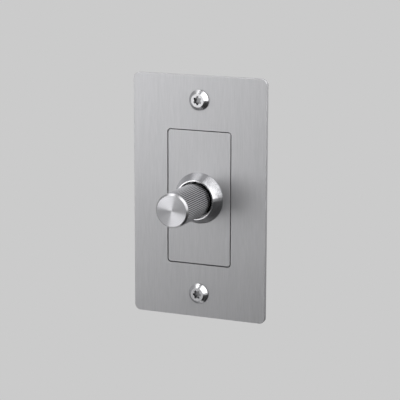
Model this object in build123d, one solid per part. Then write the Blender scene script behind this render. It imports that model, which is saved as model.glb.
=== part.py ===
from build123d import *
import math
import os

# A wall dimmer for one US device box, in millimetres. X is to the right, Y goes into the wall and Z is up.
# The wall's surface is Y = 0 and the knob's axis is X = Z = 0. "Out" is the distance from the wall towards
# the room, so it is -Y, and what lies in the box behind the wall has a negative out.

# Wall plate and the insert in its opening
plate_width = 69.85
plate_height = 120.65
plate_thickness = 2.0
plate_corner = 3.0
plate_edge_break = 0.15
insert_width = 32.95
insert_height = 66.4
insert_thickness = 2.0
insert_corner = 1.3
insert_gap = 0.45

# Gasket behind the plate
gasket_thickness = 3.5
gasket_inset = 2.0
gasket_rim = 4.5
gasket_tab_width = 12.0
gasket_tab_web = 0.8

# Screws of the plate and of the box
plate_screw_spacing = 96.8
box_screw_spacing = 83.3
machine_screw_r = 1.753
screw_tip_chamfer = 0.5
thread_clearance = 0.03
free_hole_clearance = 0.25
plate_screw_head_r = 5.1
plate_screw_face_r = 3.3
plate_screw_rim = 0.45
plate_screw_head_height = 2.4
plate_screw_end = 5.0
lobe_recess_r = 2.2
lobe_recess_waist_r = 1.62
lobe_cutter_r = 0.75
lobe_recess_depth = 1.6
box_screw_head_r = 3.5
box_screw_head_height = 1.9
box_screw_length = 25.4
driver_slot_width = 0.9
driver_slot_depth = 0.9

# Mounting strap
strap_thickness = 1.2
strap_body_width = 44.0
strap_body_height = 69.0
strap_end_margin = 2.0
strap_side_margin = 1.0
strap_corner = 2.0
strap_end = 4.95
strap_relief = 0.3
strap_ear_width = 20.0
strap_ear_corner = 4.0
strap_slot_width = 6.0
strap_slot_length = 9.0
plaster_ear_r = 5.2
plaster_ear_reach = 13.4
plaster_ear_hole_r = 1.6
plaster_ear_step = 1.4
ground_tab_width = 9.0
ground_tab_depth = 10.5
ground_tab_x = 12.5
ground_screw_r = 2.05
ground_screw_head_r = 3.9
ground_screw_head_height = 2.3
ground_screw_depth = 5.65

# Front frame that carries the insert
frame_inset = 0.2
frame_skin = 1.0
frame_wall = 1.5
frame_lip_margin = 2.0
frame_lip_thickness = 0.6
frame_lip_drop = 0.25
frame_boss_r = 8.0
frame_rib = 1.2
frame_post_r = 1.5
frame_post_gap = 0.7
frame_post_head_r = 2.3
frame_post_head = 0.6

# Collar, washer and nut round the bushing
collar_base_r = 12.75
collar_lip = 0.55
collar_height = 5.8
collar_knob_gap = 0.9
collar_floor = 1.0
collar_foot = 0.25
bushing_r = 5.0
bushing_hole_clearance = 0.1
washer_gap = 0.9
washer_thickness = 0.7
washer_teeth = 12
washer_tooth_depth = 0.9
nut_flats = 14.0
nut_thickness = 2.4
nut_corner_share = 0.6
bushing_stand = 0.5
bushing_flange = 1.5
bushing_tip = 0.4
locating_lug_r = 1.0
locating_lug_z = 9.0

# Knob, hub and spindle
knob_r = 8.4
knob_gap = 1.0
knob_length = 26.4
knob_chamfer = 0.8
knob_back_chamfer = 0.3
flute_count = 54
flute_depth = 0.32
flute_land = 0.22
hub_r = 6.2
hub_length = 14.0
hub_setback = 2.2
hub_clearance = 0.02
knob_bore_spare = 0.6
spindle_r = 3.0
spindle_flat = 1.5
spindle_clearance = 0.05
spindle_end_gap = 1.0
push_travel = 1.5
clip_thickness = 0.6
clip_r = 4.2
clip_groove_depth = 0.6
clip_mouth = 3.6
clip_clearance = 0.05

# Rotary control behind the strap
turn_each_way = 150.0
rotor_gap = 0.6
rotor_stop_gap = 0.6
rotor_thickness = 2.2
rotor_hub_r = 4.6
rotor_hub_length = 2.45
stop_lug_half_angle = 9.0
stop_play = 2.5
stop_clearance = 0.35
stop_depth = 1.5
can_r = 12.0
can_wall = 0.5
can_notch_width = 14.0
wafer_thickness = 1.5
wafer_clearance = 0.1
wafer_hole_spare = 0.8
rotor_wafer_gap = 0.1
can_back_space = 1.0
wiper_thickness = 0.25
wiper_rim = 0.9
wiper_finger_width = 1.6
wiper_finger_length = 4.6
wiper_finger_inset = 1.3
wiper_tip_gap = 0.05
lug_width = 1.8
lug_thickness = 0.4
lug_pitch = 5.0
lug_rivet_inset = 2.5
lug_gap = 1.4
lug_rivet_r = 0.7

# Switch behind the rotary control
switch_width = 24.0
switch_height = 22.0
spring_room = 1.8
switch_floor = 1.2
plunger_r = 6.2
plunger_thickness = 3.6
plunger_front_gap = 1.0
guide_clearance = 0.1
plunger_key_width = 3.2
plunger_key_r = 8.0
plunger_spigot_r = 2.1
spigot_stand = 1.1
latch_wheel_r = 5.8
latch_wheel_thickness = 2.5
latch_teeth = 8
latch_tooth_width = 1.6
latch_tooth_height = 0.5
latch_clearance = 0.1
bridge_thickness = 0.3
bridge_ring_r = 4.6
bridge_arm_width = 2.6
bridge_arm_reach = 7.9
contact_gap = 0.4
contact_thickness = 0.5
contact_pad_x = 6.8
contact_leg_x = 8.6
contact_width = 2.4
slot_spare = 0.15
spring_r = 3.3
spring_wire_r = 0.25
spring_turns = 2.5

# Circuit board and what stands on it
board_gap = 0.2
board_thickness = 1.6
board_pin_end = 1.0
choke_gap = 0.4
choke_end_gap = 1.5
choke_hole_share = 0.53
choke_thickness = 7.0
winding_wire = 0.9
winding_turns = 18
winding_clearance = 0.1
film_width = 13.0
film_depth = 6.0
film_tall = 12.0
film_gap = 3.4
film_lead_gap = 1.2
timing_width = 7.5
timing_depth = 3.5
timing_tall = 8.0
timing_gap = 2.0
capacitor_edge = 0.6
resistor_r = 1.2
resistor_length = 6.5
part_lead = 0.6
resistor_pitch = 10.2
resistor_count = 3
resistor_inset = 2.2
resistor_step = 3.0
resistor_gap = 2.0
diac_r = 0.9
diac_length = 3.8
diac_pitch = 7.6
diac_x = 12.2
lead_stand = 0.6
triac_hole_x = 11.6
triac_gap = 1.6
triac_width = 10.0
triac_case_length = 9.0
triac_case_depth = 4.4
triac_tab_length = 6.4
triac_tab_thickness = 1.3
triac_tab_cover = 1.0
triac_hole_r = 1.8
triac_lead_pitch = 2.54
triac_lead = 0.8
triac_lead_run = 1.9
triac_lead_depth = 2.6
triac_rivet_r = 1.5
triac_rivet_head_r = 2.6
triac_rivet_head = 0.9
pad_thickness = 0.3
pad_margin = 1.0

# Terminals and rear housing
housing_corner = 2.0
housing_wall = 1.8
housing_edge = 1.2
board_space = 2.9
housing_post_r = 2.4
housing_screw_inset_x = 2.1
housing_screw_inset_z = 2.9
housing_screw_r = 1.25
housing_screw_head_r = 2.0
housing_screw_head = 1.2
housing_screw_length = 9.0
housing_screw_tip_gap = 0.3
board_post_r = 1.8
board_post_x = 12.0
board_post_inset = 4.2
terminal_z = 14.0
terminal_size = 8.0
terminal_thickness = 1.0
terminal_tail = 4.0
terminal_slot_spare = 0.1
pocket_size = 9.4
pocket_depth = 4.8
pocket_wall = 1.5
board_pocket_gap = 0.1
terminal_screw_r = 1.75
terminal_head_r = 3.5
terminal_head_height = 1.8

# Levels in front of the wall, as out distances
plate_back = gasket_thickness
plate_front = plate_back + plate_thickness
insert_back = plate_front - insert_thickness
collar_floor_front = plate_front + collar_floor
washer_front = collar_floor_front + washer_thickness
nut_front = washer_front + nut_thickness
bushing_front = nut_front + bushing_stand
collar_front = plate_front + collar_height
knob_back = collar_front + knob_gap
knob_front = knob_back + knob_length
hub_back = knob_back + hub_setback
hub_front = hub_back + hub_length
spindle_front = hub_front - spindle_end_gap

# Levels behind the wall
clip_front = -bushing_flange - clip_clearance
clip_back = clip_front - clip_thickness
rotor_front = clip_back - push_travel - rotor_gap
rotor_back = rotor_front - rotor_thickness
rotor_hub_back = rotor_back - rotor_hub_length
wafer_front = rotor_hub_back - rotor_wafer_gap
wafer_back = wafer_front - wafer_thickness
can_back = wafer_back - can_back_space - can_wall
spindle_back = can_back - plunger_front_gap
plunger_back = spindle_back - plunger_thickness
wheel_front = plunger_back - latch_clearance
wheel_back = wheel_front - latch_wheel_thickness
bridge_back = wheel_back - bridge_thickness
contact_front = bridge_back - push_travel - contact_gap
switch_floor_front = bridge_back - push_travel - spring_room
switch_back = switch_floor_front - switch_floor
board_front = switch_back
board_back = board_front - board_thickness
pin_back = board_back - board_pin_end
housing_floor = board_back - board_space

# Places across the wall that follow from the sizes above
strap_length = plate_screw_spacing + 2 * strap_end
housing_width = strap_body_width - 2 * strap_side_margin
housing_height = strap_body_height - 2 * strap_end_margin
housing_screw_x = housing_width / 2 - housing_screw_inset_x
housing_screw_z = housing_height / 2 - housing_screw_inset_z
inner_width = housing_width - 2 * housing_wall
inner_height = housing_height - 2 * housing_wall
collar_bore_r = knob_r + collar_knob_gap
collar_front_r = collar_bore_r + collar_lip
washer_r = collar_bore_r - washer_gap
rotor_r = can_r - can_wall - stop_depth - rotor_stop_gap
wiper_outer_r = rotor_r - wiper_rim
lug_drop = can_r - lug_rivet_inset
lug_z = can_r + lug_gap
control_half = max(can_r, switch_height / 2)
triac_z = control_half + triac_gap + triac_width / 2
frame_post_z = triac_z + triac_width / 2 + pad_margin + frame_post_head_r + frame_post_gap
triac_case_x = triac_hole_x - triac_tab_length / 2 - triac_case_length
triac_lead_x = triac_case_x - triac_lead_run
film_x = triac_lead_x - film_lead_gap - film_width / 2
film_z = control_half + film_gap + film_depth / 2
timing_z = film_z + film_depth / 2 + timing_gap + timing_depth / 2
choke_lift = winding_wire + winding_clearance
choke_top = lug_z + lug_thickness / 2 + choke_gap
choke_outer_r = (inner_height / 2 - choke_end_gap - choke_top) / 2 - choke_lift
choke_inner_r = choke_outer_r * choke_hole_share
choke_z = -choke_top - choke_outer_r - choke_lift
resistor_x = -inner_width / 2 + resistor_inset
resistor_z = -control_half - resistor_gap - resistor_pitch / 2
board_post_z = inner_height / 2 - board_post_inset
opening_width = insert_width + 2 * insert_gap
opening_height = insert_height + 2 * insert_gap
plaster_ear_z = plate_screw_spacing / 2 - plaster_ear_step
opening_corner = insert_corner + insert_gap
free_hole_r = machine_screw_r + free_hole_clearance
tapped_hole_r = machine_screw_r + thread_clearance
bushing_hole_r = bushing_r + bushing_hole_clearance
both = (-1, 1)


def at(out):
    """The plane at this distance out, drawn on as seen from the room: its x is X and its y is Z."""
    return Plane(origin=(0, -out, 0), x_dir=(1, 0, 0), z_dir=(0, -1, 0))


def slab(outline, low, high):
    """The outline as a plate from one distance out to another."""
    return extrude(at(low) * outline, high - low)


def turned(*points):
    """A body turned about the knob's axis from points of radius and distance out."""
    side = Plane(origin=(0, 0, 0), x_dir=(1, 0, 0), z_dir=(0, 0, -1))
    return revolve(side * Polygon(*points, align=None), Axis.Y)


def disc(r, low, high, x=0.0, z=0.0):
    return slab(Pos(x, z) * Circle(r), low, high)


def ring(outer_r, inner_r, low, high):
    return slab(Circle(outer_r) - Circle(inner_r), low, high)


def plate(width, height, corner, low, high):
    return slab(RectangleRounded(width, height, corner), low, high)


def block(x, z, low, high):
    """A box between two X values, two Z values and two distances out."""
    return slab(Pos(sum(x) / 2, sum(z) / 2) * Rectangle(abs(x[1] - x[0]), abs(z[1] - z[0])), low, high)


def raised(shape, z):
    return Pos(0, 0, z) * shape


def turned_by(shape, degrees):
    """The shape turned about the knob's axis."""
    return Rot(0, degrees, 0) * shape


def d_shape(r, flat):
    """The section of a round shaft with one flat."""
    return Circle(r) - Pos(0, flat + r) * Rectangle(2 * r, 2 * r)


def joined(pieces):
    """Pieces that touch, as one solid."""
    whole = pieces[0]
    for piece in pieces[1:]:
        whole += piece
    return whole


def group(pieces):
    """Like pieces that stay separate solids."""
    return Compound(children=[solid for piece in pieces for solid in piece.solids()])


def wall_plate():
    body = plate(plate_width, plate_height, plate_corner, plate_back, plate_front)
    body = chamfer(body.faces().sort_by(Axis.Y)[0].edges(), plate_edge_break)
    body -= plate(opening_width, opening_height, opening_corner, plate_back, plate_front)
    for side in both:
        body -= disc(free_hole_r, plate_back, plate_front, 0, side * plate_screw_spacing / 2)
    return body


def strap_outline():
    """The strap's edge, without its holes."""
    outline = RectangleRounded(strap_body_width, strap_body_height, strap_corner)
    outline += RectangleRounded(strap_ear_width, strap_length, strap_ear_corner)
    for x in both:
        for z in both:
            outline += Pos(x * plaster_ear_reach, z * plaster_ear_z) * Circle(plaster_ear_r)
    return outline


def plate_gasket():
    width = plate_width - 2 * gasket_inset
    height = plate_height - 2 * gasket_inset
    body = plate(width, height, plate_corner, 0, gasket_thickness)
    inner_height = height - 2 * gasket_rim
    body -= plate(width - 2 * gasket_rim, inner_height, plate_corner, 0, gasket_thickness)
    body -= slab(offset(strap_outline(), strap_relief), 0, strap_thickness)
    hole_z = plate_screw_spacing / 2
    tab_end = hole_z - free_hole_r - gasket_tab_web
    for side in both:
        tab_x = (-gasket_tab_width / 2, gasket_tab_width / 2)
        tab_z = (side * tab_end, side * (inner_height + gasket_rim) / 2)
        body += block(tab_x, tab_z, strap_thickness, gasket_thickness)
        body -= disc(free_hole_r, 0, gasket_thickness, 0, side * hole_z)
    return body


def lobe_recess(phase):
    """A six-lobe driver recess, as a sketch."""
    recess = Circle(lobe_recess_r)
    waist = lobe_recess_waist_r + lobe_cutter_r
    for k in range(6):
        angle = math.radians(60 * k + phase)
        recess -= Pos(waist * math.cos(angle), waist * math.sin(angle)) * Circle(lobe_cutter_r)
    return recess


def plate_screw(phase):
    top = plate_front + plate_screw_head_height
    tip = -plate_screw_end
    body = turned(
        (0, tip), (machine_screw_r - screw_tip_chamfer, tip), (machine_screw_r, tip + screw_tip_chamfer),
        (machine_screw_r, plate_front), (plate_screw_head_r, plate_front),
        (plate_screw_head_r, plate_front + plate_screw_rim), (plate_screw_face_r, top), (0, top),
    )
    return body - slab(lobe_recess(phase), top - lobe_recess_depth, top)


def plate_screws():
    half = plate_screw_spacing / 2
    return group([raised(plate_screw(0), half), raised(plate_screw(30), -half)])


def box_screws():
    head = strap_thickness + box_screw_head_height
    dome = box_screw_head_height / 3
    tip = strap_thickness - box_screw_length
    body = turned(
        (0, tip), (machine_screw_r - screw_tip_chamfer, tip), (machine_screw_r, tip + screw_tip_chamfer),
        (machine_screw_r, strap_thickness), (box_screw_head_r, strap_thickness),
        (box_screw_head_r, head - dome), (box_screw_head_r - dome, head), (0, head),
    )
    reach = (-box_screw_head_r, box_screw_head_r)
    slot = (-driver_slot_width / 2, driver_slot_width / 2)
    body -= block(reach, slot, head - driver_slot_depth, head)
    return group([raised(body, side * box_screw_spacing / 2) for side in both])


def insert_plate():
    body = plate(insert_width, insert_height, insert_corner, insert_back, plate_front)
    body = chamfer(body.faces().sort_by(Axis.Y)[0].edges(), plate_edge_break)
    return body - disc(bushing_hole_r, insert_back, plate_front)


def front_frame():
    width = insert_width - 2 * frame_inset
    height = insert_height - 2 * frame_inset
    hollow = insert_back - frame_skin
    body = plate(width, height, insert_corner, strap_thickness, insert_back)
    lip_front = plate_back - frame_lip_drop
    lip_width = opening_width + 2 * frame_lip_margin
    lip_height = opening_height + 2 * frame_lip_margin
    body += plate(lip_width, lip_height, opening_corner, lip_front - frame_lip_thickness, lip_front)
    body -= plate(width - 2 * frame_wall, height - 2 * frame_wall, insert_corner, strap_thickness, hollow)
    body += disc(frame_boss_r, strap_thickness, hollow)
    half_rib = frame_rib / 2
    body += block((-width / 2 + frame_wall / 2, width / 2 - frame_wall / 2), (-half_rib, half_rib),
                  strap_thickness, hollow)
    body += block((-half_rib, half_rib), (-height / 2 + frame_wall / 2, height / 2 - frame_wall / 2),
                  strap_thickness, hollow)
    for side in both:
        body += disc(frame_post_r, 0, hollow, 0, side * frame_post_z)
        body += disc(frame_post_head_r, -frame_post_head, 0, 0, side * frame_post_z)
    body -= disc(locating_lug_r + bushing_hole_clearance, strap_thickness, hollow, 0, locating_lug_z)
    return body - disc(bushing_hole_r, strap_thickness, insert_back)


def collar():
    floor = collar_floor_front
    body = turned(
        (bushing_hole_r, plate_front), (collar_base_r, plate_front),
        (collar_base_r, plate_front + collar_foot), (collar_front_r, collar_front),
        (collar_bore_r, collar_front), (collar_bore_r, floor), (bushing_hole_r, floor),
    )
    return body


def lock_washer():
    body = ring(washer_r, bushing_hole_r, collar_floor_front, washer_front)
    notch = Rectangle(washer_tooth_depth * 2, math.pi * washer_r / washer_teeth)
    for k in range(washer_teeth):
        place = Rot(0, 0, 360 * k / washer_teeth) * Pos(washer_r, 0)
        body -= slab(place * notch, collar_floor_front, washer_front)
    return body


def bushing_nut():
    corner_r = nut_flats / math.sqrt(3)
    body = slab(RegularPolygon(corner_r, 6), washer_front, nut_front)
    face_r = nut_flats / 2
    rise = (corner_r - face_r) * nut_corner_share
    body &= turned((0, washer_front), (corner_r, washer_front), (corner_r, nut_front - rise),
                   (face_r, nut_front), (0, nut_front))
    return body - disc(bushing_r + thread_clearance, washer_front, nut_front)


def threaded_bushing():
    bore_r = spindle_r + spindle_clearance
    body = turned(
        (bore_r, -bushing_flange), (can_r, -bushing_flange), (can_r, 0), (bushing_r, 0),
        (bushing_r, bushing_front - bushing_tip), (bushing_r - bushing_tip, bushing_front),
        (bore_r, bushing_front),
    )
    lug_front = strap_thickness + frame_skin / 2
    return body + disc(locating_lug_r, -bushing_flange / 2, lug_front, 0, locating_lug_z)


def fluted_outline():
    """The knob's section: straight V grooves with a narrow flat between them."""
    step = 2 * math.pi / flute_count
    half_land = flute_land / 2 / knob_r
    points = []
    for k in range(flute_count):
        for angle, r in ((-half_land, knob_r), (half_land, knob_r), (step / 2, knob_r - flute_depth)):
            points.append((r * math.cos(k * step + angle), r * math.sin(k * step + angle)))
    return Polygon(*points, align=None)


def knob():
    body = slab(fluted_outline(), knob_back, knob_front)
    shoulder = knob_front - knob_chamfer
    body &= turned(
        (0, knob_back), (knob_r - knob_back_chamfer, knob_back), (knob_r, knob_back + knob_back_chamfer),
        (knob_r, shoulder), (knob_r - knob_chamfer, knob_front), (0, knob_front),
    )
    return body - disc(hub_r + hub_clearance, knob_back, hub_front + knob_bore_spare)


def knob_hub():
    body = disc(hub_r, hub_back, hub_front)
    return body - slab(d_shape(spindle_r + hub_clearance, spindle_flat + hub_clearance), hub_back, hub_front)


def spindle():
    groove_r = spindle_r - clip_groove_depth
    body = disc(spindle_r, spindle_back, spindle_front)
    flat = d_shape(spindle_r, spindle_flat)
    body &= (slab(flat, spindle_back, clip_back - rotor_gap / 2)
             + disc(spindle_r, clip_back - rotor_gap / 2, hub_back)
             + slab(flat, hub_back, spindle_front))
    groove = ring(spindle_r + 1, groove_r, clip_back - clip_clearance, clip_front + clip_clearance)
    return body - groove


def spindle_clip():
    inner_r = spindle_r - clip_groove_depth + clip_clearance
    outline = Circle(clip_r) - Circle(inner_r) - Pos(0, -clip_r) * Rectangle(clip_mouth, 2 * clip_r)
    return slab(outline, clip_back, clip_front)


def sector(outer_r, inner_r, half_angle, centre_angle):
    """A ring's sector as a sketch, with its middle at this angle from X."""
    ends = [math.radians(centre_angle + side * half_angle) for side in both]
    reach = outer_r / math.cos(math.radians(half_angle)) + 1
    wedge = Polygon((0, 0), *[(reach * math.cos(a), reach * math.sin(a)) for a in ends], align=None)
    return (Circle(outer_r) - Circle(inner_r)) & wedge


def rotor():
    lug_r = can_r - can_wall - stop_clearance
    body = disc(rotor_r, rotor_back, rotor_front)
    body += slab(sector(lug_r, rotor_r - 1, stop_lug_half_angle, 90), rotor_back, rotor_front)
    body += disc(rotor_hub_r, rotor_hub_back, rotor_back)
    hole = d_shape(spindle_r + spindle_clearance, spindle_flat + spindle_clearance)
    return body - slab(hole, rotor_hub_back, rotor_front)


def wiper():
    """A spring ring under the rotor with two fingers bent back to the track."""
    body = ring(wiper_outer_r, rotor_hub_r + 0.1, rotor_back - wiper_thickness, rotor_back)
    drop = rotor_hub_length + rotor_wafer_gap - wiper_tip_gap
    t = wiper_thickness
    side = Polygon((0, 0), (0, -t), (wiper_finger_length, -drop), (wiper_finger_length + 1, -drop),
                   (wiper_finger_length + 1, t - drop), (wiper_finger_length + 0.1, t - drop), align=None)
    start = wiper_outer_r - wiper_finger_inset - wiper_finger_width / 2
    finger_plane = Plane(origin=(0, -rotor_back, start), x_dir=(1, 0, 0), z_dir=(0, 0, 1))
    finger = extrude(finger_plane * mirror(side, Plane.XZ), wiper_finger_width)
    for turn in (0, 180):
        body += turned_by(finger, turn)
    return body


def control_can():
    inner_r = can_r - can_wall
    body = disc(can_r, can_back, -bushing_flange) - disc(inner_r, can_back + can_wall, -bushing_flange)
    body -= disc(spindle_r + wafer_hole_spare, can_back, can_back + can_wall)
    stop_half_angle = 180 - turn_each_way - stop_lug_half_angle - stop_play
    stop = sector(inner_r + can_wall / 2, rotor_r + rotor_stop_gap, stop_half_angle, -90)
    body += slab(stop, rotor_back, rotor_front)
    notch = (-can_notch_width / 2, can_notch_width / 2)
    return body - block(notch, (-can_r, -lug_drop), can_back, wafer_front)


def track_wafer():
    body = disc(can_r - can_wall - wafer_clearance, wafer_back, wafer_front)
    body -= disc(spindle_r + wafer_hole_spare, wafer_back, wafer_front)
    for x in lug_positions():
        body -= disc(lug_rivet_r + hub_clearance, wafer_back, wafer_front, x, -lug_drop)
    return body


def lug_positions():
    return [k * lug_pitch for k in (-1, 0, 1)]


def track_terminals():
    """Three lugs riveted to the wafer, bent back to the circuit board."""
    lugs = []
    low_z = -lug_z - lug_thickness / 2
    for x in lug_positions():
        across = (x - lug_width / 2, x + lug_width / 2)
        flat = block(across, (low_z, lug_width / 2 - lug_drop), wafer_back - lug_thickness, wafer_back)
        tail = block(across, (low_z, low_z + lug_thickness), pin_back, wafer_back)
        lugs.append(flat + tail + disc(lug_rivet_r, wafer_back, wafer_front, x, -lug_drop))
    return group(lugs)


def key_slots(width, reach, low, high):
    return block((-reach, reach), (-width / 2, width / 2), low, high)


def switch_housing():
    body = plate(switch_width, switch_height, housing_corner / 2, switch_back, can_back)
    body -= disc(plunger_r + guide_clearance, switch_floor_front, can_back)
    slot_width = plunger_key_width + 2 * guide_clearance
    slot_reach = contact_leg_x + contact_thickness + slot_spare
    body -= key_slots(slot_width, slot_reach, switch_floor_front, can_back)
    for side in both:
        inner = side * (contact_leg_x - slot_spare)
        outer = side * (contact_leg_x + contact_thickness + slot_spare)
        half = contact_width / 2 + slot_spare
        body -= block((inner, outer), (-half, half), switch_back, switch_floor_front)
    return body


def tooth(k, width, height, back):
    """One radial V tooth, its base on the level back and its point towards the room."""
    side = Polygon((-width / 2, 0), (width / 2, 0), (0, height), align=None)
    start = plunger_spigot_r + 2 * guide_clearance
    tooth_plane = Plane(origin=(start, -back, 0), x_dir=(0, 0, 1), z_dir=(1, 0, 0))
    return turned_by(extrude(tooth_plane * side, latch_wheel_r - start), 360 * (k + 0.5) / latch_teeth)


def switch_plunger():
    body = disc(plunger_r, plunger_back, spindle_back)
    body += key_slots(plunger_key_width, plunger_key_r, plunger_back, spindle_back)
    body += disc(plunger_spigot_r, bridge_back - spigot_stand, plunger_back)
    spare = 2 * latch_clearance
    for k in range(latch_teeth):
        body -= tooth(k, latch_tooth_width + 2 * spare, latch_tooth_height + spare, plunger_back)
    return body


def latch_wheel():
    body = ring(latch_wheel_r, plunger_spigot_r + guide_clearance, wheel_back, wheel_front)
    for k in range(latch_teeth):
        body += tooth(k, latch_tooth_width, latch_tooth_height, wheel_front)
    return body


def contact_bridge():
    body = ring(bridge_ring_r, plunger_spigot_r + guide_clearance, bridge_back, wheel_back)
    arms = key_slots(bridge_arm_width, bridge_arm_reach, bridge_back, wheel_back)
    return body + (arms - disc(plunger_spigot_r + guide_clearance, bridge_back, wheel_back))


def fixed_contacts():
    contacts = []
    across = (-contact_width / 2, contact_width / 2)
    for side in both:
        outer = side * (contact_leg_x + contact_thickness)
        pad = block((side * contact_pad_x, outer), across, contact_front - contact_thickness, contact_front)
        leg = block((side * contact_leg_x, outer), across, pin_back, contact_front)
        contacts.append(pad + leg)
    return group(contacts)


def return_spring():
    room = bridge_back - switch_floor_front - 2 * spring_wire_r
    start = switch_floor_front + spring_wire_r
    path = Helix(pitch=room / spring_turns, height=room, radius=spring_r)
    section = Plane(origin=path @ 0, z_dir=path % 0) * RegularPolygon(spring_wire_r, 6)
    coil = sweep(section, path=path, is_frenet=True)
    return at(start).location * coil


def mounting_strap():
    outline = strap_outline()
    for x in both:
        for z in both:
            outline -= Pos(x * plaster_ear_reach, z * plaster_ear_z) * Circle(plaster_ear_hole_r)
            hole = Circle(housing_screw_r + bushing_hole_clearance)
            outline -= Pos(x * housing_screw_x, z * housing_screw_z) * hole
    for z in both:
        outline -= Pos(0, z * box_screw_spacing / 2) * SlotOverall(strap_slot_length, strap_slot_width)
        outline -= Pos(0, z * plate_screw_spacing / 2) * Circle(tapped_hole_r)
        outline -= Pos(0, z * frame_post_z) * Circle(frame_post_r + hub_clearance)
    outline -= Circle(bushing_hole_r)
    outline -= Pos(0, locating_lug_z) * Circle(locating_lug_r + bushing_hole_clearance)
    outline -= Pos(triac_hole_x, triac_z) * Circle(triac_rivet_r + hub_clearance)
    body = slab(outline, 0, strap_thickness)
    edge = -strap_body_height / 2
    tab_x = (ground_tab_x - ground_tab_width / 2, ground_tab_x + ground_tab_width / 2)
    body += block(tab_x, (edge, edge + strap_thickness), -ground_tab_depth, strap_thickness)
    return body - ground_cylinder(ground_screw_r + thread_clearance, edge - 1, edge + strap_thickness + 1)


def ground_cylinder(r, low_z, high_z):
    """A round bar along Z on the ground screw's axis."""
    place = Plane(origin=(ground_tab_x, ground_screw_depth, low_z))
    return extrude(place * Circle(r), high_z - low_z)


def ground_screw():
    edge = -strap_body_height / 2
    head_end = edge - ground_screw_head_height
    tip = -housing_height / 2 + housing_wall / 2
    body = ground_cylinder(ground_screw_r, edge, tip) + ground_cylinder(ground_screw_head_r, head_end, edge)
    place = Plane(origin=(ground_tab_x, ground_screw_depth, head_end))
    return body - extrude(place * Rectangle(2 * ground_screw_head_r, driver_slot_width), driver_slot_depth)


def across_triac(margin=0.0):
    """The Z range of the triac, or of something wider by this margin."""
    half = triac_width / 2 + margin
    return (triac_z - half, triac_z + half)


def thermal_pad():
    end_x = triac_hole_x + triac_tab_length / 2 + pad_margin
    body = block((triac_case_x - pad_margin, end_x), across_triac(pad_margin), -pad_thickness, 0)
    return body - disc(triac_rivet_r + hub_clearance, -pad_thickness, 0, triac_hole_x, triac_z)


def triac_case():
    """The moulded case, open below for the metal tab that it is moulded round."""
    end_x = triac_case_x + triac_case_length
    back = -pad_thickness - triac_case_depth
    body = block((triac_case_x, end_x), across_triac(), back, -pad_thickness)
    tab_x = (triac_case_x + triac_tab_cover, end_x)
    return body - block(tab_x, across_triac(), triac_tab_back(), -pad_thickness)


def triac_tab_back():
    return -pad_thickness - triac_tab_thickness


def triac_leads():
    """The metal tab in the case, and three leads bent back to the board."""
    tab_x = (triac_case_x + triac_tab_cover, triac_hole_x + triac_tab_length / 2)
    tab = block(tab_x, across_triac(), triac_tab_back(), -pad_thickness)
    leads = [tab - disc(triac_hole_r, triac_tab_back(), -pad_thickness, triac_hole_x, triac_z)]
    level = -pad_thickness - triac_lead_depth
    half = triac_lead / 2
    for z in triac_lead_rows():
        run = block((triac_lead_x, triac_case_x), (z - half, z + half), level - half, level + half)
        drop = block((triac_lead_x, triac_lead_x + triac_lead), (z - half, z + half), pin_back, level + half)
        leads.append(run + drop)
    return group(leads)


def triac_lead_rows():
    return [triac_z + k * triac_lead_pitch for k in (-1, 0, 1)]


def triac_rivet():
    front = strap_thickness + triac_rivet_head
    back = triac_tab_back() - triac_rivet_head
    body = disc(triac_rivet_r, back, front, triac_hole_x, triac_z)
    body += disc(triac_rivet_head_r, strap_thickness, front, triac_hole_x, triac_z)
    return body + disc(triac_rivet_head_r, back, triac_tab_back(), triac_hole_x, triac_z)


def pin_holes():
    """Everything that passes through the circuit board, drawn as a sketch."""
    spare = 2 * slot_spare
    holes = Sketch()
    for x in lug_positions():
        holes += Pos(x, -lug_z) * Rectangle(lug_width + spare, lug_thickness + spare)
    tail_slot = Rectangle(terminal_thickness + spare, terminal_tail + spare)
    for side in both:
        x = side * (contact_leg_x + contact_thickness / 2)
        holes += Pos(x, 0) * Rectangle(contact_thickness + spare, contact_width + spare)
        holes += Pos(terminal_x(), side * terminal_z) * tail_slot
    for z in triac_lead_rows():
        holes += Pos(triac_lead_x + triac_lead / 2, z) * Rectangle(triac_lead + spare, triac_lead + spare)
    return holes


def circuit_board():
    width = inner_width - 2 * board_gap
    height = inner_height - 2 * board_gap
    outline = RectangleRounded(width, height, housing_corner / 2)
    for x in both:
        for z in both:
            corner = Pos(x * housing_screw_x, z * housing_screw_z)
            outline -= corner * Circle(housing_post_r + 2 * slot_spare)
    return slab(outline - pin_holes(), board_back, board_front)


def choke_core():
    body = ring(choke_outer_r, choke_inner_r, board_front + choke_lift,
                board_front + choke_lift + choke_thickness)
    return raised(body, choke_z)


def choke_winding():
    """Enamelled wire in one layer round the core, its turns side by side in the core's hole."""
    low, high = board_front, board_front + choke_thickness + 2 * choke_lift
    inner_r = choke_inner_r - choke_lift
    outer_r = choke_outer_r + choke_lift
    half = winding_wire / 2
    loop = block((inner_r, outer_r), (-half, half), low, high)
    loop -= block((inner_r + winding_wire, outer_r - winding_wire), (-half, half), low + winding_wire,
                  high - winding_wire)
    turns = joined([turned_by(loop, 360 * k / winding_turns) for k in range(winding_turns)])
    return raised(turns, choke_z)


def capacitor(width, depth, tall, z):
    """A boxed capacitor standing on the board in the column beside the triac's leads."""
    across = (film_x - width / 2, film_x + width / 2)
    body = block(across, (z - depth / 2, z + depth / 2), board_front, board_front + tall)
    return chamfer(body.faces().sort_by(Axis.Y)[0].edges(), capacitor_edge)


def film_capacitor():
    return capacitor(film_width, film_depth, film_tall, film_z)


def timing_capacitor():
    return capacitor(timing_width, timing_depth, timing_tall, timing_z)


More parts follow.
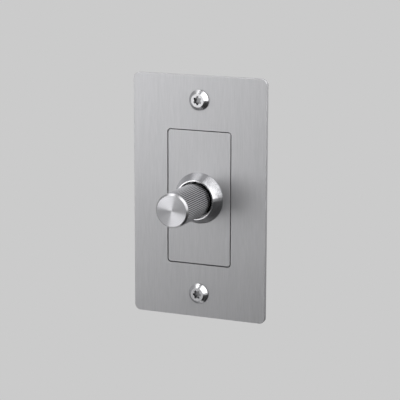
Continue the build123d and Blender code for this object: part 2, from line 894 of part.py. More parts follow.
def axial_part(x, z, body_r, body_length, lead, pitch):
    """A small round part lying along Z, with flattened leads bent down to the board."""
    level = board_front + body_r + lead_stand
    half = lead / 2
    across = (x - half, x + half)
    body = extrude(Plane(origin=(x, -level, z - body_length / 2)) * Circle(body_r), body_length)
    body += block(across, (z - pitch / 2, z + pitch / 2), level - half, level + half)
    for side in both:
        leg = z + side * (pitch - lead) / 2
        body += block(across, (leg - half, leg + half), board_front, level)
    return body


def resistors():
    places = [resistor_x + k * resistor_step for k in range(resistor_count)]
    return group([axial_part(x, resistor_z, resistor_r, resistor_length, part_lead, resistor_pitch)
                  for x in places])


def diac():
    return axial_part(diac_x, resistor_z, diac_r, diac_length, part_lead, diac_pitch)


def terminal_floor():
    """The X of a terminal pocket's floor."""
    return housing_width / 2 - pocket_depth


def terminal_x():
    """The X of the middle of a terminal plate."""
    return terminal_floor() + terminal_thickness / 2


def terminal_level():
    """How far out the middle of the terminal pockets is."""
    return board_front + board_pocket_gap + pocket_wall + pocket_size / 2


def terminal_plates():
    plates = []
    x = (terminal_floor(), terminal_floor() + terminal_thickness)
    for side in both:
        z = side * terminal_z
        half = terminal_size / 2
        head = block(x, (z - half, z + half), terminal_level() - half, terminal_level() + half)
        tail = block(x, (z - terminal_tail / 2, z + terminal_tail / 2), pin_back, terminal_level())
        plates.append(head + tail - side_bar(terminal_screw_r + thread_clearance, *x, z))
    return group(plates)


def side_bar(r, low_x, high_x, z):
    """A round bar along X through the middle of a terminal pocket."""
    place = Plane(origin=(low_x, -terminal_level(), z), x_dir=(0, 1, 0), z_dir=(1, 0, 0))
    return extrude(place * Circle(r), high_x - low_x)


def terminal_screws():
    screws = []
    seat = terminal_floor() + terminal_thickness
    top = seat + terminal_head_height
    for side in both:
        z = side * terminal_z
        body = side_bar(terminal_screw_r, terminal_floor() - pocket_wall, seat, z)
        body += side_bar(terminal_head_r, seat, top, z)
        slot_z = (z - driver_slot_width / 2, z + driver_slot_width / 2)
        low = terminal_level() - terminal_head_r
        body -= block((top - driver_slot_depth, top), slot_z, low, low + 2 * terminal_head_r)
        screws.append(body)
    return group(screws)


def rear_housing():
    body = plate(housing_width, housing_height, housing_corner, housing_floor - housing_wall, 0)
    body = chamfer(body.faces().sort_by(Axis.Y)[-1].edges(), housing_edge)
    cavity = plate(inner_width, inner_height, housing_corner / 2, housing_floor, 0)
    pockets = []
    for side in both:
        z = side * terminal_z
        half = pocket_size / 2
        wall = half + pocket_wall
        level = terminal_level()
        x = (terminal_floor(), housing_width / 2)
        pockets.append(block(x, (z - half, z + half), level - half, level + half))
        cavity -= block((x[0] - pocket_wall, x[1]), (z - wall, z + wall), level - wall, level + wall)
    for x in both:
        for z in both:
            cavity -= disc(housing_post_r, housing_floor, 0, x * housing_screw_x, z * housing_screw_z)
            cavity -= disc(board_post_r, housing_floor, board_back, x * board_post_x, z * board_post_z)
    body -= cavity
    for pocket in pockets:
        body -= pocket
    for side in both:
        z = side * terminal_z
        floor = terminal_floor()
        body -= side_bar(terminal_screw_r + thread_clearance, floor - pocket_wall, floor, z)
        slot_x = (floor - terminal_slot_spare, floor + terminal_thickness + terminal_slot_spare)
        half = terminal_tail / 2 + terminal_slot_spare
        body -= block(slot_x, (z - half, z + half), housing_floor, terminal_level())
    for x in both:
        for z in both:
            hole = (x * housing_screw_x, z * housing_screw_z)
            body -= disc(housing_screw_r + hub_clearance, -housing_screw_length, 0, *hole)
    low_z = -strap_body_height / 2
    hole_r = ground_screw_r + 2 * bushing_hole_clearance
    return body - ground_cylinder(hole_r, low_z, low_z + strap_end_margin + housing_wall)


def housing_screws():
    screws = []
    head = strap_thickness + housing_screw_head
    for x in both:
        for z in both:
            place = (x * housing_screw_x, z * housing_screw_z)
            tip = housing_screw_tip_gap - housing_screw_length
            body = disc(housing_screw_r, tip, strap_thickness, *place)
            body += disc(housing_screw_head_r, strap_thickness, head, *place)
            slot_x = (place[0] - housing_screw_head_r, place[0] + housing_screw_head_r)
            slot_z = (place[1] - driver_slot_width / 4, place[1] + driver_slot_width / 4)
            screws.append(body - block(slot_x, slot_z, head - driver_slot_depth / 2, head))
    return group(screws)


nodes = {
    "wall_plate": wall_plate,
    "plate_gasket": plate_gasket,
    "plate_screws": plate_screws,
    "insert_plate": insert_plate,
    "front_frame": front_frame,
    "collar": collar,
    "lock_washer": lock_washer,
    "bushing_nut": bushing_nut,
    "threaded_bushing": threaded_bushing,
    "knob": knob,
    "knob_hub": knob_hub,
    "spindle": spindle,
    "spindle_clip": spindle_clip,
    "rotor": rotor,
    "wiper": wiper,
    "control_can": control_can,
    "track_wafer": track_wafer,
    "track_terminals": track_terminals,
    "switch_housing": switch_housing,
    "switch_plunger": switch_plunger,
    "latch_wheel": latch_wheel,
    "contact_bridge": contact_bridge,
    "fixed_contacts": fixed_contacts,
    "return_spring": return_spring,
    "mounting_strap": mounting_strap,
    "box_screws": box_screws,
    "ground_screw": ground_screw,
    "thermal_pad": thermal_pad,
    "triac_case": triac_case,
    "triac_leads": triac_leads,
    "triac_rivet": triac_rivet,
    "circuit_board": circuit_board,
    "film_capacitor": film_capacitor,
    "timing_capacitor": timing_capacitor,
    "choke_core": choke_core,
    "choke_winding": choke_winding,
    "resistors": resistors,
    "diac": diac,
    "terminal_plates": terminal_plates,
    "terminal_screws": terminal_screws,
    "rear_housing": rear_housing,
    "housing_screws": housing_screws,
}

os.makedirs("parts", exist_ok=True)
for name, make in nodes.items():
    export_step(make(), f"parts/{name}.step")
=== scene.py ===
import bmesh
import bpy
import math
from mathutils import Matrix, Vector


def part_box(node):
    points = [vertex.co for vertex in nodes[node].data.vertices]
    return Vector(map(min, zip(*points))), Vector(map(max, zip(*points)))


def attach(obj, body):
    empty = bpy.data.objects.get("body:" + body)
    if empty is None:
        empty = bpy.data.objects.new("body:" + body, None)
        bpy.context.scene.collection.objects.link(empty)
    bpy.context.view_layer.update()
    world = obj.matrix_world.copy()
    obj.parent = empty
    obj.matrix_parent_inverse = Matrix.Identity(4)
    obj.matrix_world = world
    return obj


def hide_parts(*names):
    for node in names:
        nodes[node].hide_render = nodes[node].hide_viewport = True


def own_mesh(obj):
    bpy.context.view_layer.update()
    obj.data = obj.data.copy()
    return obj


# The dimmer gets its finishes, its finer shapes and its light here. Lengths are metres, and MM turns a
# length in millimetres into metres. The room is on the -Y side of the plate, so "out" is -Y.
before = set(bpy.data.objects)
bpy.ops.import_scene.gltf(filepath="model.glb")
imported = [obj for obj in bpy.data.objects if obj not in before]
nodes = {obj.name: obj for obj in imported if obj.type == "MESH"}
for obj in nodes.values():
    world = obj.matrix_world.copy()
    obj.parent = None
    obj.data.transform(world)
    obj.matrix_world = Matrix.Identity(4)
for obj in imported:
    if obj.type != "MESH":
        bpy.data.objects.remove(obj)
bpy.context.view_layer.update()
MM = 0.001
PLATE_FRONT = -5.5 * MM


# Colours and materials

def linear(code):
    """An sRGB hex colour as the linear values that the shader takes."""
    parts = [int(code[k:k + 2], 16) / 255 for k in (1, 3, 5)]
    return [c / 12.92 if c <= 0.04045 else ((c + 0.055) / 1.055) ** 2.4 for c in parts] + [1.0]


def add(tree, kind, values=None, links=None, **settings):
    """Adds a shader node with its own settings, its socket values and what is linked to its sockets."""
    made = tree.nodes.new("ShaderNode" + kind)
    for key, value in settings.items():
        setattr(made, key, value)
    for key, value in (values or {}).items():
        made.inputs[key].default_value = value
    for key, socket in (links or {}).items():
        tree.links.new(socket, made.inputs[key])
    return made


def start(name, colour, roughness, **values):
    """A material with its shader, the constant values on the shader's own sockets."""
    made = bpy.data.materials.new(name)
    made.use_nodes = True
    shader = made.node_tree.nodes["Principled BSDF"]
    shader.inputs["Base Color"].default_value = linear(colour)
    shader.inputs["Roughness"].default_value = roughness
    for key, value in values.items():
        shader.inputs[key].default_value = value
    return made, made.node_tree, shader


def pattern(tree, size, stretch=(1, 1, 1), detail=2.0, rough=0.5):
    """Noise whose features are about this many millimetres, drawn out along an axis by its stretch."""
    where = add(tree, "TexCoord")
    scale = [1 / (size * MM * s) for s in stretch]
    placed = add(tree, "Mapping", {"Scale": scale}, {"Vector": where.outputs["Object"]})
    return add(tree, "TexNoise", {"Scale": 1.0, "Detail": detail, "Roughness": rough},
               {"Vector": placed.outputs["Vector"]})


def spread(tree, source, low, high):
    """The source's middle range drawn out between two values."""
    made = add(tree, "MapRange", {"From Min": 0.3, "From Max": 0.7, "To Min": low, "To Max": high},
               {"Value": source})
    return made.outputs["Result"]


def shade(tree, shader, source, dark, light):
    """The base colour, between two colours, by the source."""
    mix = add(tree, "Mix", {"A": linear(dark), "B": linear(light)}, {"Factor": source}, data_type="RGBA")
    tree.links.new(mix.outputs["Result"], shader.inputs["Base Color"])


def roughen(tree, shader, source, low, high):
    """The roughness, between two values, by the source's middle range."""
    tree.links.new(spread(tree, source, low, high), shader.inputs["Roughness"])


def relief(tree, shader, source, height):
    """Bump of this height in millimetres."""
    bump = add(tree, "Bump", {"Distance": height * MM, "Strength": 1.0}, {"Height": source})
    tree.links.new(bump.outputs["Normal"], shader.inputs["Normal"])


def moulded(name, dark, light, roughness, grit, height=0.01):
    """Moulded plastic: an even body colour and the fine spark-eroded grain of its mould."""
    made, tree, shader = start(name, light, roughness)
    cloud = pattern(tree, 9.0)
    grain = pattern(tree, grit, detail=3.0)
    shade(tree, shader, spread(tree, cloud.outputs["Fac"], 0, 1), dark, light)
    roughen(tree, shader, grain.outputs["Fac"], roughness - 0.06, roughness + 0.06)
    relief(tree, shader, grain.outputs["Fac"], height)
    return made


def metal(name, dark, light, roughness, size, stretch=(1, 1, 1), height=0.004):
    """Bare or plated metal with the marks that its making leaves, drawn out along one axis or none."""
    made, tree, shader = start(name, light, roughness, Metallic=1.0)
    marks = pattern(tree, size, stretch, 4.0)
    shade(tree, shader, spread(tree, marks.outputs["Fac"], 0, 1), dark, light)
    roughen(tree, shader, marks.outputs["Fac"], roughness * 0.8, roughness * 1.2)
    relief(tree, shader, marks.outputs["Fac"], height)
    return made


def brushed_stainless():
    """Stainless sheet brushed up and down: it draws highlights out sideways into soft satin."""
    made, tree, shader = start("brushed stainless sheet", "#b2b2b4", 0.50, Metallic=1.0, Anisotropic=0.3)
    upright = (1, 1, 20)
    # Real grit lines are about 0.05 mm wide. They are drawn 0.4 mm wide so that they show.
    lines = pattern(tree, 0.4, upright, 4.0, 0.65)
    broad = pattern(tree, 1.6, upright, 2.0)
    both = add(tree, "Mix", {"Factor": 0.2}, {"A": lines.outputs["Fac"], "B": broad.outputs["Fac"]})
    shade(tree, shader, spread(tree, both.outputs["Result"], 0, 1), "#ababad", "#b8b8ba")
    roughen(tree, shader, lines.outputs["Fac"], 0.48, 0.52)
    across = add(tree, "CombineXYZ", {"X": 1.0})
    tree.links.new(across.outputs["Vector"], shader.inputs["Tangent"])
    relief(tree, shader, lines.outputs["Fac"], 0.002)
    return made


def round_radius(tree):
    """The distance from the knob's axis, in metres."""
    where = add(tree, "TexCoord")
    apart = add(tree, "SeparateXYZ", {}, {"Vector": where.outputs["Object"]})
    flat = add(tree, "CombineXYZ", {}, {"X": apart.outputs["X"], "Z": apart.outputs["Z"]})
    return add(tree, "VectorMath", {}, {0: flat.outputs["Vector"]}, operation="LENGTH").outputs["Value"]


def outward(tree):
    """How squarely a surface faces the room: 1 on the plate's front, 0 on its sides."""
    where = add(tree, "TexCoord")
    return add(tree, "VectorMath", {1: (0, -1, 0)}, {0: where.outputs["Normal"]},
               operation="DOT_PRODUCT").outputs["Value"]


def ringed_metal(name, colour, roughness, anisotropic):
    """Bare metal off the lathe: its marks run round the knob's axis, so highlights stretch across them."""
    made, tree, shader = start(name, colour, roughness, Metallic=1.0, Anisotropic=anisotropic,
                               **{"Anisotropic Rotation": 0.25})
    round_axis = add(tree, "Tangent", direction_type="RADIAL", axis="Y")
    tree.links.new(round_axis.outputs["Tangent"], shader.inputs["Tangent"])
    return made, tree, shader


def faced_stainless():
    """Stainless bar faced on a lathe: very fine rings, which fan its highlights out from the centre."""
    made, tree, shader = ringed_metal("lathe faced stainless", "#b4b4b7", 0.30, 1.0)
    # Tool marks are about 0.1 mm apart. They are drawn 0.4 mm apart so that they show.
    count = add(tree, "Math", {1: 1 / (0.4 * MM)}, {0: round_radius(tree)}, operation="MULTIPLY")
    rings = add(tree, "TexNoise", {"Scale": 1.0, "Detail": 2.0}, {"W": count.outputs["Value"]},
                noise_dimensions="1D")
    shade(tree, shader, spread(tree, rings.outputs["Fac"], 0, 1), "#b0b0b3", "#b9b9bc")
    roughen(tree, shader, rings.outputs["Fac"], 0.28, 0.32)
    return made


def tumbled_stainless():
    """Screws tumbled bright: flats duller than the bevel, with painted shade in the recess and round the
    rim.
    """
    bright, dull = 0.24, 0.42
    made = metal("tumbled stainless", "#b6b6b8", "#c2c2c4", bright, 0.4)
    tree = made.node_tree
    facing = outward(tree)
    rough = add(tree, "MapRange", {"From Min": 0.9, "From Max": 0.98, "To Min": bright, "To Max": dull},
                {"Value": facing})
    tree.links.new(rough.outputs["Result"], tree.nodes["Principled BSDF"].inputs["Roughness"])
    where = add(tree, "TexCoord")
    depth = add(tree, "SeparateXYZ", {}, {"Vector": where.outputs["Object"]}).outputs["Y"]
    # What lies in front of the plate is the head. Its flats lie further out than the recess's floor.
    tests = [(depth, PLATE_FRONT + 0.1 * MM, "LESS_THAN"), (depth, PLATE_FRONT - 2.1 * MM, "GREATER_THAN"),
             (facing, 0.9, "GREATER_THAN"), (facing, 0.2, "LESS_THAN")]
    head, sunk, flat, side = [add(tree, "Math", {1: limit}, {0: source}, operation=kind).outputs["Value"]
                              for source, limit, kind in tests]
    # Painted shade: the recess's floor and walls and the rim's side take a darker colour, and a rougher
    # finish.
    floor = add(tree, "Math", {}, {0: sunk, 1: flat}, operation="MULTIPLY").outputs["Value"]
    either = add(tree, "Math", {}, {0: floor, 1: side}, operation="MAXIMUM").outputs["Value"]
    painted_shade_and_rough_mask = add(tree, "Math", {}, {0: either, 1: head}, operation="MULTIPLY").outputs["Value"]
    return roughened_with_painted_shade(made, painted_shade_and_rough_mask, "#848486", dull)


def fluted_stainless(valley, land):
    """Stainless bar with milled flutes: painted shade in the valleys and a painted highlight on the lands.
    """
    made, tree, shader = start("milled stainless flutes", "#c8c8ca", 0.22, Metallic=1.0)
    depth = add(tree, "MapRange", {"From Min": valley, "From Max": land}, {"Value": round_radius(tree)})
    # Painted shade in the valleys and a painted highlight on the lands, set by the distance from the axis.
    shade(tree, shader, depth.outputs["Result"], "#404042", "#fcfcfe")
    marks = pattern(tree, 0.5, (1, 12, 1), 2.0)
    roughen(tree, shader, marks.outputs["Fac"], 0.18, 0.26)
    return made


def turned_stainless():
    """The knob's chamfer, straight off the lathe: bright, but softer than the buffed collar."""
    made, tree, shader = start("turned stainless edge", "#a2a2a4", 0.3, Metallic=1.0)
    marks = pattern(tree, 0.3, detail=3.0)
    shade(tree, shader, spread(tree, marks.outputs["Fac"], 0, 1), "#9c9c9e", "#a8a8aa")
    roughen(tree, shader, marks.outputs["Fac"], 0.27, 0.33)
    return made


def roughened_with_painted_shade(made, painted_shade_and_rough_mask, colour, roughness=0.5):
    """The same metal, rougher where the mask is 1, and darkened there with a painted shade colour."""
    tree = made.node_tree
    shader = tree.nodes["Principled BSDF"]
    for name, dull in (("Base Color", linear(colour)), ("Roughness", (roughness,) * 4)):
        kept = shader.inputs[name].links[0].from_socket
        mix = add(tree, "Mix", {"B": dull}, {"Factor": painted_shade_and_rough_mask, "A": kept}, data_type="RGBA")
        tree.links.new(mix.outputs["Result"], shader.inputs[name])
    return made


def bore_shaded_stainless(bore):
    """The collar's polished stainless, rougher inside its bore where no buff reaches, with painted shade
    there too.
    """
    made = polished_stainless()
    tree = made.node_tree
    inside = add(tree, "Math", {1: bore}, {0: round_radius(tree)}, operation="LESS_THAN")
    return roughened_with_painted_shade(made, inside.outputs["Value"], "#a2a2a4", 0.38)


def side_shaded_stainless():
    """The brushed sheet with painted shade on its sides, which the insert shows at its gap."""
    made = brushed_stainless()
    tree = made.node_tree
    turned_away = add(tree, "Math", {1: 0.7}, {0: outward(tree)}, operation="LESS_THAN")
    return roughened_with_painted_shade(made, turned_away.outputs["Value"], "#58585a")


def polished_stainless():
    """Stainless turned and buffed: a near mirror with a trace of soft haze."""
    made, tree, shader = ringed_metal("polished stainless", "#bfbfc1", 0.17, 0.9)
    haze = pattern(tree, 1.2, detail=5.0)
    shade(tree, shader, spread(tree, haze.outputs["Fac"], 0, 1), "#bababc", "#c4c4c6")
    roughen(tree, shader, haze.outputs["Fac"], 0.14, 0.20)
    relief(tree, shader, haze.outputs["Fac"], 0.002)
    return made


def punched_board(name, dark, light):
    """Pressed paper laminate: a dull resin sheet with short fibres in it."""
    made, tree, shader = start(name, light, 0.5)
    fibre = pattern(tree, 0.7, (4, 1, 1), 5.0, 0.7)
    shade(tree, shader, spread(tree, fibre.outputs["Fac"], 0, 1), dark, light)
    relief(tree, shader, fibre.outputs["Fac"], 0.01)
    return made


# After the colours come the roughness, the size of the marks or grain in millimetres, how a metal's marks
# are drawn out along X, Y and Z, and the height of the relief in millimetres.
finishes = {
    "satin_stainless": brushed_stainless(),
    "fluted_stainless": metal("cut stainless bar", "#bebec0", "#cacacc", 0.2, 0.5, (1, 12, 1), 0.002),
    "polished_stainless": polished_stainless(),
    "black_gasket": moulded("moulded neoprene", "#161617", "#1d1d1e", 0.75, 0.35),
    "black_frame": moulded("moulded black ABS", "#161617", "#1c1c1d", 0.5, 0.25),
    "grey_housing": moulded("moulded grey thermoset", "#35373a", "#3c3e41", 0.48, 0.3, 0.015),
    "switch_case": moulded("moulded black nylon", "#232529", "#292b2e", 0.45, 0.25),
    "natural_nylon": moulded("moulded natural nylon", "#d6d2c4", "#e2dfd6", 0.38, 0.3, 0.005),
    "zinc_plated_steel": metal("zinc plated steel", "#a9b0b8", "#c3c8ce", 0.34, 1.6),
    "nickel_plated_brass": metal("nickel plated brass", "#c3c0b7", "#d0cdc4", 0.2, 0.5, (1, 0.2, 1)),
    "aluminium": metal("turned aluminium", "#bcbfc4", "#cacccf", 0.3, 0.4, (1, 0.15, 1)),
    "brass": metal("stamped brass", "#bf9a4b", "#cfa956", 0.28, 0.9, (1, 1, 6)),
    "phosphor_bronze": metal("rolled phosphor bronze", "#ac7846", "#bd8753", 0.3, 0.5, (8, 1, 1)),
    "tinned_brass": metal("tinned brass strip", "#b9b8b2", "#c8c8c4", 0.32, 0.8),
    "spring_steel": metal("drawn spring wire", "#868a90", "#979ba0", 0.3, 0.4),
    "green_steel": metal("green passivated steel", "#2a7040", "#35854c", 0.35, 0.7),
    "track_laminate": punched_board("brown paper laminate", "#4f3320", "#624027"),
    "board_laminate": punched_board("amber paper laminate", "#9c7038", "#b07f43"),
    "iron_powder": moulded("coated iron powder", "#bda736", "#cdb842", 0.4, 0.8, 0.03),
    "enamelled_copper": metal("enamelled copper wire", "#8f4520", "#a4552a", 0.25, 0.8),
    "film_case": moulded("moulded red epoxy", "#932a20", "#a13227", 0.25, 0.4, 0.004),
    "small_film_case": moulded("dipped yellow epoxy", "#b08427", "#be902f", 0.22, 1.5, 0.03),
    "resistor_coat": moulded("baked resistor coating", "#c4aa80", "#d1b78e", 0.35, 0.5, 0.01),
    "diac_glass": moulded("coated glass bead", "#35557d", "#42648f", 0.12, 0.6, 0.004),
    "black_epoxy": moulded("moulded black epoxy", "#141516", "#1a1b1d", 0.55, 0.2),
    "silicone_pad": moulded("grey silicone sheet", "#868b90", "#93989d", 0.7, 0.3),
}
for node in nodes.values():
    for place in node.material_slots:
        place.material = finishes[place.material.name.split(".")[0]]
nodes["plate_screws"].material_slots[0].material = tumbled_stainless()
black_zinc = metal("black zinc plated steel", "#17181a", "#222326", 0.45, 1.2)
for name in ("bushing_nut", "lock_washer"):
    nodes[name].material_slots[0].material = black_zinc
# The collar's bore has a radius of 9.3 mm, and everything nearer to the axis than this lies in it.
nodes["collar"].material_slots[0].material = bore_shaded_stainless(9.34 * MM)
nodes["insert_plate"].material_slots[0].material = side_shaded_stainless()


# Finer shapes

def linked(name, data):
    """An object in the scene, of this mesh or camera."""
    made = bpy.data.objects.new(name, data)
    bpy.context.scene.collection.objects.link(made)
    return made


def fluted_knob():
    """The knob with a small round on each edge that the cutter leaves, in three finishes.

    Its back end reaches 1 mm further than the solid, down to the mouth of the collar.
    """
    lo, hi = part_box("knob")
    radius = (hi.x - lo.x) / 2
    reach, front_thickness = 1.05 * MM, 12 * MM
    back, front = -hi.y - reach, -lo.y
    flutes, depth, land, chamfer, bore = 54, 0.32 * MM, 0.22 * MM, 0.9 * MM, 6.22 * MM
    step = math.tau / flutes
    back_bevel, brow, centre = 0.1 * MM, 0.06 * MM, 0.3 * MM
    # The flutes run out between these distances from the chamfer.
    full, faded = 0.5 * MM, 0.15 * MM
    faced, fluted, turned = 0, 1, 2
    verts, faces, parts = [], [], []

    def ring(radii, outs):
        """One ring of three points to a flute: two at the land and one in the valley."""
        first = len(verts)
        for k in range(flutes):
            for angle, r, out in zip((-land / 2 / radius, land / 2 / radius, step / 2), radii, outs):
                a = k * step + angle
                verts.append((r * math.cos(a), -out, r * math.sin(a)))
        return range(first, len(verts))

    def join(one, other, part):
        """The faces between two rings, in one of the three finishes."""
        for k in range(len(one)):
            n = (k + 1) % len(one)
            faces.append((one[k], one[n], other[n], other[k]))
            parts.append(part)

    valley = radius - depth
    shoulder = front - chamfer
    rim = radius - chamfer
    # From the bottom of the bore over the back end and the flutes to the centre of the front.
    rings = [
        (ring([bore] * 3, [front - front_thickness] * 3), faced),
        (ring([bore] * 3, [back] * 3), faced),
        (ring([valley - back_bevel] * 3, [back] * 3), faced),
        (ring([radius, radius, valley], [back + back_bevel] * 3), fluted),
        (ring([radius, radius, valley], [shoulder - full] * 3), fluted),
        (ring([radius] * 3, [shoulder - faded] * 3), fluted),
        (ring([radius - brow / 2] * 3, [shoulder + brow / 2] * 3), turned),
        (ring([rim + brow] * 3, [front - brow] * 3), turned),
        (ring([rim - brow / 2] * 3, [front] * 3), faced),
        (ring([rim / 2] * 3, [front] * 3), faced),
        (ring([centre] * 3, [front] * 3), faced),
    ]
    for (one, _), (other, part) in zip(rings, rings[1:]):
        join(one, other, part)
    faces.append(tuple(reversed(rings[0][0])))
    faces.append(tuple(rings[-1][0]))
    parts += [faced, faced]
    mesh = bpy.data.meshes.new("fluted knob")
    mesh.from_pydata(verts, [], faces)
    for material in (faced_stainless(), fluted_stainless(valley, radius), turned_stainless()):
        mesh.materials.append(material)
    for polygon, part in zip(mesh.polygons, parts):
        polygon.material_index = part
    made = linked("fluted_knob", mesh)
    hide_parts("knob")
    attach(made, "knob")
    return made


fluted_knob()


def threaded_screws(node, under_head, head_radius):
    """The node's screws with a rolled 6-32 thread in place of each smooth shank."""
    major, minor, pitch, point = 1.753 * MM, 1.35 * MM, 0.794 * MM, 0.5 * MM
    around, steps, tolerance = 24, 8, 0.01 * MM
    # The thread's flanks meet at its crest and leave a flat root of a sixth of the pitch.
    steepness = 2.4
    lo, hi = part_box(node)
    axes = (lo.z + head_radius, hi.z - head_radius)
    solid = bmesh.new()
    solid.from_mesh(nodes[node].data)

    def on_shank(v):
        """Whether a corner of the solid lies on one of its two shanks."""
        apart = min(math.hypot(v.co.x, v.co.z - z) for z in axes)
        return v.co.y > under_head - tolerance and apart < major + tolerance

    shank = [face for face in solid.faces if all(on_shank(v) for v in face.verts)]
    bmesh.ops.delete(solid, geom=shank, context="FACES")
    length = hi.y - under_head
    count = round(length / pitch * steps)
    for z in axes:
        rings = []
        for k in range(count + 1):
            y = k / count * length
            ring = []
            for n in range(around):
                turn = (y / pitch - n / around) % 1.0
                r = major - (major - minor) * min(1.0, steepness * abs(turn - 0.5))
                r = min(r, major - point + length - y)
                angle = math.tau * n / around
                corner = (r * math.cos(angle), under_head + y, z + r * math.sin(angle))
                ring.append(solid.verts.new(corner))
            rings.append(ring)
        for one, other in zip(rings, rings[1:]):
            for n in range(around):
                m = (n + 1) % around
                solid.faces.new((one[n], one[m], other[m], other[n]))
        solid.faces.new(rings[0])
        solid.faces.new(rings[-1])
    bmesh.ops.recalc_face_normals(solid, faces=solid.faces)
    mesh = bpy.data.meshes.new(node + " threaded")
    solid.to_mesh(mesh)
    mesh.materials.append(nodes[node].material_slots[0].material)
    made = linked(node + "_threaded", mesh)
    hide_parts(node)
    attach(made, "base")
    return made


threaded_screws("plate_screws", under_head=PLATE_FRONT, head_radius=5.1 * MM)
threaded_screws("box_screws", under_head=-1.2 * MM, head_radius=3.5 * MM)


def moulded_housing():
    """The housing with what its mould leaves: a sunk panel, side grips and the marks of ejector pins."""
    lo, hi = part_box("rear_housing")
    made = linked("moulded_housing", nodes["rear_housing"].data.copy())
    cutter = bmesh.new()

    def cut(low, high, bevel=0.0):
        """Adds a box to the cutter, its edges along Y bevelled where asked."""
        placed = bmesh.ops.create_cube(cutter, size=1.0)["verts"]
        for v in placed:
            v.co = [a + (b - a) * (c + 0.5) for a, b, c in zip(low, high, v.co)]
        if bevel:
            # Each edge comes once, at its first corner.
            edges = [edge for v in placed for edge in v.link_edges if edge.verts[0] == v]
            along_y = [edge for edge in edges if edge.verts[0].co.y != edge.verts[1].co.y]
            bmesh.ops.bevel(cutter, geom=along_y, offset=bevel, segments=4, affect="EDGES", profile=0.5)

    beyond = 1 * MM
    middle_x, middle_z = (lo.x + hi.x) / 2, (lo.z + hi.z) / 2
    half_width, half_height, sunk, corner = 14 * MM, 17 * MM, 0.4 * MM, 2.0 * MM
    cut((middle_x - half_width, hi.y - sunk, middle_z - half_height),
        (middle_x + half_width, hi.y + beyond, middle_z + half_height), corner)
    inset, pin, pin_length, pin_middle = 4.2 * MM, 2.2 * MM, 2 * MM, hi.y + 0.8 * MM
    for x in (lo.x + inset, hi.x - inset):
        for z in (lo.z + inset, hi.z - inset):
            turned = Matrix.Translation((x, pin_middle, z)) @ Matrix.Rotation(math.pi / 2, 4, "X")
            bmesh.ops.create_cone(cutter, cap_ends=True, segments=40, radius1=pin, radius2=pin,
                                  depth=pin_length, matrix=turned)
    grooves, first, apart = 9, 4, 1.6
    half_length, half_groove, groove_depth = 11 * MM, 0.4 * MM, 0.35 * MM
    for k in range(grooves):
        y = hi.y - (first + apart * k) * MM
        for z, out in ((lo.z, -1), (hi.z, 1)):
            ends = sorted((z + out * beyond, z - out * groove_depth))
            cut((middle_x - half_length, y - half_groove, ends[0]),
                (middle_x + half_length, y + half_groove, ends[1]))
    tool_mesh = bpy.data.meshes.new("cutter")
    cutter.to_mesh(tool_mesh)
    tool = linked("cutter", tool_mesh)
    trim = made.modifiers.new("moulding", "BOOLEAN")
    trim.object = tool
    trim.solver = "EXACT"
    trimmed = made.evaluated_get(bpy.context.evaluated_depsgraph_get())
    mesh = bpy.data.meshes.new_from_object(trimmed)
    made.modifiers.clear()
    made.data = mesh
    bpy.data.objects.remove(tool)
    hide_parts("rear_housing")
    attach(made, "base")
    return made


moulded_housing()


def return_spring():
    """The coil under the switch's wheel, its end turns wound flat, at the length it has with the knob not
    pushed.
    """
    lo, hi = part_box("return_spring")
    wire, pushed = 0.25 * MM, 1.5 * MM
    turns, steps, section = 2.5, 80, 10
    # At 0 the coil climbs evenly, and at 1 its end turns lie quite flat.
    flatness = 0.8
    coil = (hi.x - lo.x) / 2 - wire
    height = hi.y - lo.y - 2 * wire
    verts, faces = [], []
    for k in range(steps + 1):
        share = k / steps
        rise = share - flatness * math.sin(math.tau * share) / math.tau
        angle = math.tau * turns * share
        for n in range(section):
            a = math.tau * n / section
            r = coil + wire * math.cos(a)
            y = hi.y - wire - height * rise + wire * math.sin(a)
            verts.append((r * math.cos(angle), y, r * math.sin(angle)))
    for k in range(steps):
        one, other = k * section, (k + 1) * section
        for n in range(section):
            m = (n + 1) % section
            faces.append((one + n, one + m, other + m, other + n))
    faces.append(tuple(range(section)))
    faces.append(tuple(reversed(range(steps * section, (steps + 1) * section))))
    mesh = bpy.data.meshes.new("coiled spring")
    mesh.from_pydata(verts, [], faces)
    for polygon in mesh.polygons[:-2]:
        polygon.use_smooth = True
    mesh.materials.append(finishes["spring_steel"])
    made = linked("coiled_return_spring", mesh)
    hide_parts("return_spring")
    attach(made, "base")
    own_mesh(made)
    return made


return_spring()


# Studio

def card(name, corners):
    """A flat card of the studio, which is no part of the object and which the camera looks through."""
    mesh = bpy.data.meshes.new(name)
    mesh.from_pydata(corners, [], [range(len(corners))])
    made = linked(name, mesh)
    made.visible_camera = False
    return made


def softbox(name, corners, level, hot, edge_level):
    """A lit card, brightest at its hot spot and falling to the edge level at 0.48 m from it."""
    reach = 0.48
    made = card(name, corners)
    glow = bpy.data.materials.new(name)
    glow.use_nodes = True
    tree = glow.node_tree
    tree.nodes.clear()
    where = add(tree, "TexCoord")
    apart = add(tree, "VectorMath", {1: hot}, {0: where.outputs["Object"]}, operation="DISTANCE")
    fall = add(tree, "MapRange", {"From Max": reach, "To Min": level, "To Max": edge_level},
               {"Value": apart.outputs["Value"]}, interpolation_type="SMOOTHSTEP")
    light = add(tree, "Emission", {}, {"Strength": fall.outputs["Result"]})
    add(tree, "OutputMaterial", {}, {"Surface": light.outputs["Emission"]})
    made.data.materials.append(glow)


def flag(name, corners):
    """A black card that only reflections show."""
    made = card(name, corners)
    made.visible_diffuse = made.visible_shadow = False
    made.data.materials.append(start(name, "#080808", 0.9)[0])


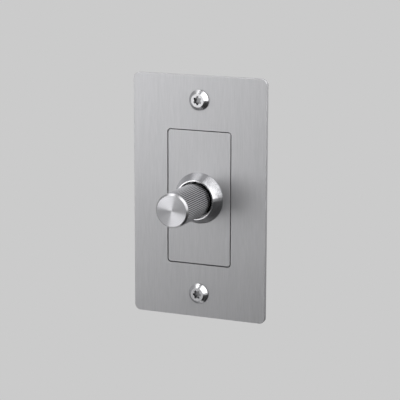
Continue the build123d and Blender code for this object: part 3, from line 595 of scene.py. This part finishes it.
softbox("key softbox", [(-0.295, -0.710, -0.155), (0.02, -0.585, 0.618), (-0.580, -0.46, 0.39),
                        (-0.580, -0.47, -0.097)], level=4.2, hot=(-0.39, -0.61, -0.05), edge_level=0.6)
softbox("right softbox", [(0.9, -0.8, 0.0), (1.0, 0.7, -0.03), (0.06, 0.7, 0.97), (0.25, -0.8, 0.75)],
        level=3.8, hot=(0.6, 0.1, 0.5), edge_level=3.0)
softbox("top softbox", [(-0.18, -0.55, 0.93), (-0.18, 0.75, 0.93), (-0.62, 0.75, 0.68),
                        (-0.62, -0.55, 0.68)], level=5.8, hot=(-0.36, -0.40, 0.83), edge_level=0.6)
flag_z = -0.28
flag("black flag below", [(-0.25, -0.8, flag_z), (1.2, -0.8, flag_z), (1.2, 1.2, flag_z),
                          (0.05, 1.2, flag_z), (0.05, -0.15, flag_z), (-0.25, -0.15, flag_z)])
flag("black flag in front", [(0.0, -0.9, -0.5), (0.75, -0.45, -0.5), (0.75, -0.45, 0.45),
                             (0.0, -0.9, 0.1)])

floor_half, floor_z = 0.8, -0.45
floor = card("pale floor", [(-floor_half, -floor_half, floor_z), (floor_half, -floor_half, floor_z),
                            (floor_half, floor_half, floor_z), (-floor_half, floor_half, floor_z)])
floor.visible_camera = True
floor.data.materials.append(start("pale floor", "#d6d6d6", 0.9)[0])

# The camera, reflections and clear materials see the backdrop's grey.
# Diffuse light comes from a weaker fill.
world = bpy.data.worlds.new("studio")
bpy.context.scene.world = world
world.use_nodes = True
tree = world.node_tree
tree.nodes.clear()
ray = add(tree, "LightPath")
seen = add(tree, "Math", {}, {0: ray.outputs["Is Camera Ray"], 1: ray.outputs["Is Glossy Ray"]},
           operation="MAXIMUM")
shown = add(tree, "Math", {}, {0: seen.outputs["Value"], 1: ray.outputs["Is Transmission Ray"]},
            operation="MAXIMUM")
fill = add(tree, "Background", {"Color": linear("#f2f2f2"), "Strength": 0.45})
backdrop = add(tree, "Background", {"Color": linear("#cbcbcb"), "Strength": 1.0})
mix = add(tree, "MixShader", {}, {"Fac": shown.outputs["Value"], 1: fill.outputs["Background"],
                                  2: backdrop.outputs["Background"]})
add(tree, "OutputWorld", {}, {"Surface": mix.outputs["Shader"]})

# Camera at the photograph's viewing angle
lens = bpy.data.cameras.new("camera")
lens.sensor_width = 36
lens.lens = 140.5
camera = linked("camera", lens)
camera.location = (0.2920, -0.6951, 0.1567)
turn, pitch, roll = math.radians(22.91), math.radians(90 - 11.89), math.radians(0.15)
aimed = Matrix.Rotation(turn, 3, "Z") @ Matrix.Rotation(pitch, 3, "X") @ Matrix.Rotation(roll, 3, "Z")
camera.rotation_euler = aimed.to_euler()
bpy.context.scene.camera = camera
bpy.context.scene.view_settings.view_transform = "Standard"
